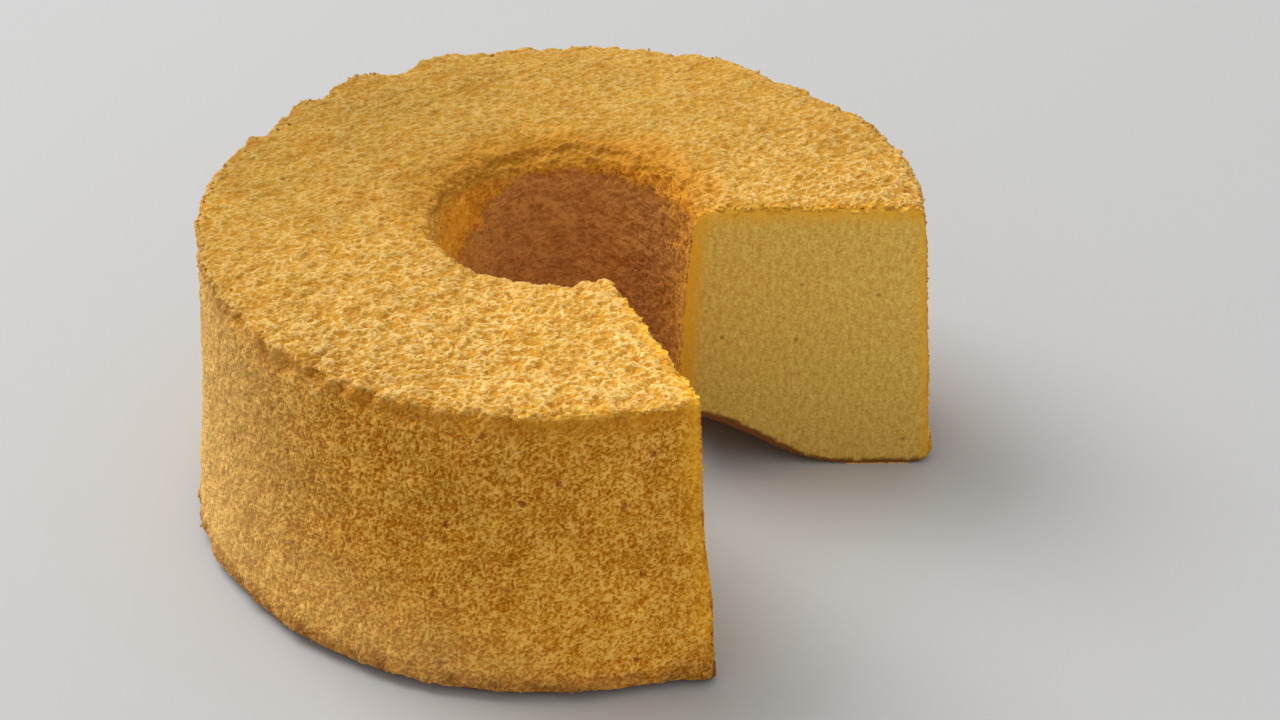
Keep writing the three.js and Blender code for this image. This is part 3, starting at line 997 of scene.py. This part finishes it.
def mark_zones(mesh, sizes):
    """Writes the zones' weights on the mesh, and the number of its part on each face."""
    places = vertex_places(mesh)
    normals = np.empty(places.size)
    mesh.vertex_normals.foreach_get("vector", normals)
    weights = zone_weights(places, normals.reshape(-1, 3), sizes)
    for name, values in weights.items():
        mesh.attributes.new(name, "FLOAT", "POINT").data.foreach_set("value", values)
    corners = np.empty(len(mesh.loops), dtype=np.int32)
    mesh.loops.foreach_get("vertex_index", corners)
    starts = np.empty(len(mesh.polygons), dtype=np.int32)
    mesh.polygons.foreach_get("loop_start", starts)
    sides = np.diff(np.append(starts, len(corners)))

    # The far half of the wall runs from the far cut to the middle of the ring's arc.
    middle = (sizes.near_cut + math.tau) / 2
    first = places[corners[starts]]
    turn = np.arctan2(first[:, 1], first[:, 0]) % math.tau
    parts = np.where(turn < middle, PARTS.index("far_wall"), PARTS.index("near_wall"))
    for name, zone in (
        ("tube_skin", "hole"),
        ("top_crust", "top"),
        ("oven_foot", "foot"),
        ("cut_crumb", "cut"),
    ):
        share = np.add.reduceat(weights[zone][corners], starts) / sides
        parts[share > 0.5] = PARTS.index(name)
    mesh.attributes.new("part", "INT", "FACE").data.foreach_set("value", parts.astype(np.int32))


def settle(mesh, sizes):
    """Bends the cake as its own weight did.

    The top sinks round the left and far side of the hole, and the rim swells at the back. The foot
    spreads at the front left, and the near cut leans out at its foot. Turns are in degrees.
    """
    places = vertex_places(mesh)
    across = np.hypot(places[:, 0], places[:, 1])
    up = places[:, 2].copy()
    turn = np.degrees(np.arctan2(places[:, 1], places[:, 0])) % 360
    over_hole = across - sizes.hole_radius
    sunk = 0.4 * ease(17 * MM, 0.0, over_hole) + 0.6 * np.clip(1 - over_hole / (11 * MM), 0, 1) ** 2
    sunk *= near(70, turn - 145)
    places[:, 2] -= sizes.dish_depth * sunk * ease(34 * MM, 2 * MM, sizes.height - up)
    spread = ease(182, 200, turn) * ease(288, 240, turn) * ease(50 * MM, 4 * MM, up)
    swell = (near(28, turn - 137) + 0.7 * near(17, turn - 32)) * ease(30 * MM, 75 * MM, up)
    pushed = sizes.foot_spread * spread + sizes.rim_swell * swell
    pushed *= ease(sizes.hole_radius, sizes.base_radius, across)
    away = np.array((-math.sin(sizes.near_cut), math.cos(sizes.near_cut)))
    at_cut = near(25 * MM, places[:, :2] @ away) * (turn > 180)
    lean = at_cut * ease(48 * MM, 20 * MM, up) * ease(50 * MM, 95 * MM, across)
    places[:, :2] *= (1 + pushed / across)[:, None]
    places[:, :2] += sizes.cut_lean * lean[:, None] * away
    mesh.vertices.foreach_set("co", places.ravel())
    mesh.update()


class CakeBodyOperator(bpy.types.Operator):
    """Make the cake's body: the frame's solid with a fine mesh and relief, in parts by finish"""

    bl_idname = "cake.body"
    bl_label = "Cake body"

    def execute(self, context):
        sizes = context.scene.cake_sizes
        colours = context.scene.cake_colours
        crust = golden_crust(sizes, colours)
        body = self.fine_body(sizes, crust)
        finishes = dict.fromkeys(PARTS, crust)
        finishes["cut_crumb"] = cut_crumb(sizes, colours)
        finishes["oven_foot"] = browned_foot(colours)
        tree = part_tree()
        for number, name in enumerate(PARTS):
            piece = new_piece(name, body.data.copy())
            run_tree(piece, tree, {"Part": number, "Material": finishes[name]})
            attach(piece, "root")
            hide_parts(CAKE_NODE)
        bpy.data.objects.remove(body)
        return {"FINISHED"}

    def fine_body(self, sizes, crust):
        """The whole body in one mesh, from a copy of the frame's solid."""
        solid = bmesh.new()
        solid.from_mesh(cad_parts[CAKE_NODE].data)
        bmesh.ops.remove_doubles(solid, verts=solid.verts, dist=1e-6)
        mesh = bpy.data.meshes.new("cake_body")
        solid.to_mesh(mesh)
        solid.free()
        body = new_piece("cake_body", mesh)
        remesh = body.modifiers.new("even mesh", "REMESH")
        remesh.mode = "VOXEL"
        remesh.voxel_size = sizes.grid
        bake_modifiers(body)
        body.data.materials.clear()
        mark_zones(body.data, sizes)
        settle(body.data, sizes)
        values = {"Material": crust}
        for kind in RELIEF_KINDS:
            for word in ("spacing", "depth"):
                values[f"{kind} {word}"] = getattr(sizes, f"{kind.lower()}_{word}")
        run_tree(body, relief_tree(), values)
        body.data.name = "cake_surface"
        return body


class CakeTuftsOperator(bpy.types.Operator):
    """Scatter loose tufts of crumb along the cake's edges"""

    bl_idname = "cake.tufts"
    bl_label = "Crumb tufts"

    def execute(self, context):
        sizes = context.scene.tuft_sizes
        tufts = new_piece("edge_tufts", bpy.data.meshes["cake_surface"].copy())
        values = {
            "Zone": "edge",
            "Density": sizes.count * PER_MM2,
            "Smallest": sizes.smallest,
            "Largest": sizes.largest,
            "Stretch": sizes.stretch,
            "Seed": TUFT_SEED,
            "Material": context.scene.objects["top_crust"].data.materials[0],
        }
        run_tree(tufts, tuft_tree(), values)
        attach(tufts, "root")
        return {"FINISHED"}


class CakeStageOperator(bpy.types.Operator):
    """Make the floor, the soft light and the camera"""

    bl_idname = "cake.stage"
    bl_label = "Stage"

    def execute(self, context):
        look = context.scene.stage_look
        self.make_floor(look)
        self.make_light(context.scene, look)
        self.make_camera(context.scene, look)
        return {"FINISHED"}

    def make_floor(self, look):
        """A plain board, painted matt: pale, with soft shadows and hardly any gloss."""
        material, tree = new_material("matt white board")
        end_material(tree, {"Base Color": rgba(look.floor_colour), "Roughness": 0.7})
        mesh = bpy.data.meshes.new("floor")
        corners = [(x * FLOOR_REACH, y * FLOOR_REACH, 0) for x, y in ((-1, -1), (1, -1), (1, 1), (-1, 1))]
        mesh.from_pydata(corners, [], [(0, 1, 2, 3)])
        mesh.materials.append(material)
        new_piece("floor", mesh)

    def make_light(self, scene, look):
        """Soft light from all round, and one large soft light that hangs at the back left."""
        world = bpy.data.worlds.new("soft surround")
        world.use_nodes = True
        background = world.node_tree.nodes["Background"]
        background.inputs["Color"].default_value = rgba(look.sky_colour)
        background.inputs["Strength"].default_value = look.sky_strength
        scene.world = world
        key = bpy.data.lights.new("key", "AREA")
        key.shape = "SQUARE"
        key.size = look.key_size
        key.energy = look.key_power
        lamp = bpy.data.objects.new("key", key)
        lamp.location = look.key_place
        lamp.rotation_euler = (-lamp.location).to_track_quat("-Z", "Y").to_euler()
        scene.collection.objects.link(lamp)

    def make_camera(self, scene, look):
        """The camera, turned by its pitch, yaw and roll, and plain colours in the picture."""
        pitch, yaw, roll = look.camera_turn
        data = bpy.data.cameras.new("camera")
        data.sensor_fit = "HORIZONTAL"
        data.sensor_width = SENSOR_WIDTH_MM
        data.lens = look.lens
        camera = bpy.data.objects.new("camera", data)
        level = Matrix.Rotation(-yaw, 4, "Z") @ Matrix.Rotation(math.pi / 2 - pitch, 4, "X")
        turn = level @ Matrix.Rotation(roll, 4, "Z")
        camera.matrix_world = Matrix.Translation(look.camera_place) @ turn
        scene.collection.objects.link(camera)
        scene.camera = camera
        scene.view_settings.view_transform = "Standard"


class CakePanel(bpy.types.Panel):
    """The cake's operators, sizes, colours and stage"""

    bl_idname = "VIEW3D_PT_cake"
    bl_label = "Chiffon cake"
    bl_space_type = "VIEW_3D"
    bl_region_type = "UI"
    bl_category = "Cake"

    def draw(self, context):
        for operator in OPERATORS:
            self.layout.operator(operator.bl_idname)
        for name in GROUPS:
            column = self.layout.column()
            group = getattr(context.scene, name)
            for field in group.__annotations__:
                column.prop(group, field)


OPERATORS = (CakeBodyOperator, CakeTuftsOperator, CakeStageOperator)
GROUPS = {
    "cake_sizes": CakeSizes,
    "tuft_sizes": TuftSizes,
    "cake_colours": CakeColours,
    "stage_look": StageLook,
}


def register():
    """Registers the classes, and gives the scene one group of each kind."""
    for cls in (*GROUPS.values(), *OPERATORS, CakePanel):
        bpy.utils.register_class(cls)
    for name, group in GROUPS.items():
        setattr(bpy.types.Scene, name, bpy.props.PointerProperty(type=group))


def unregister():
    """Takes the groups off the scene, and the classes away."""
    for name in GROUPS:
        delattr(bpy.types.Scene, name)
    for cls in (CakePanel, *OPERATORS, *GROUPS.values()):
        bpy.utils.unregister_class(cls)


def main():
    """Makes every piece in order."""
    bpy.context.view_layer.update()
    register()
    bpy.ops.cake.body()
    bpy.ops.cake.tufts()
    bpy.ops.cake.stage()


if __name__ == "__main__":
    main()
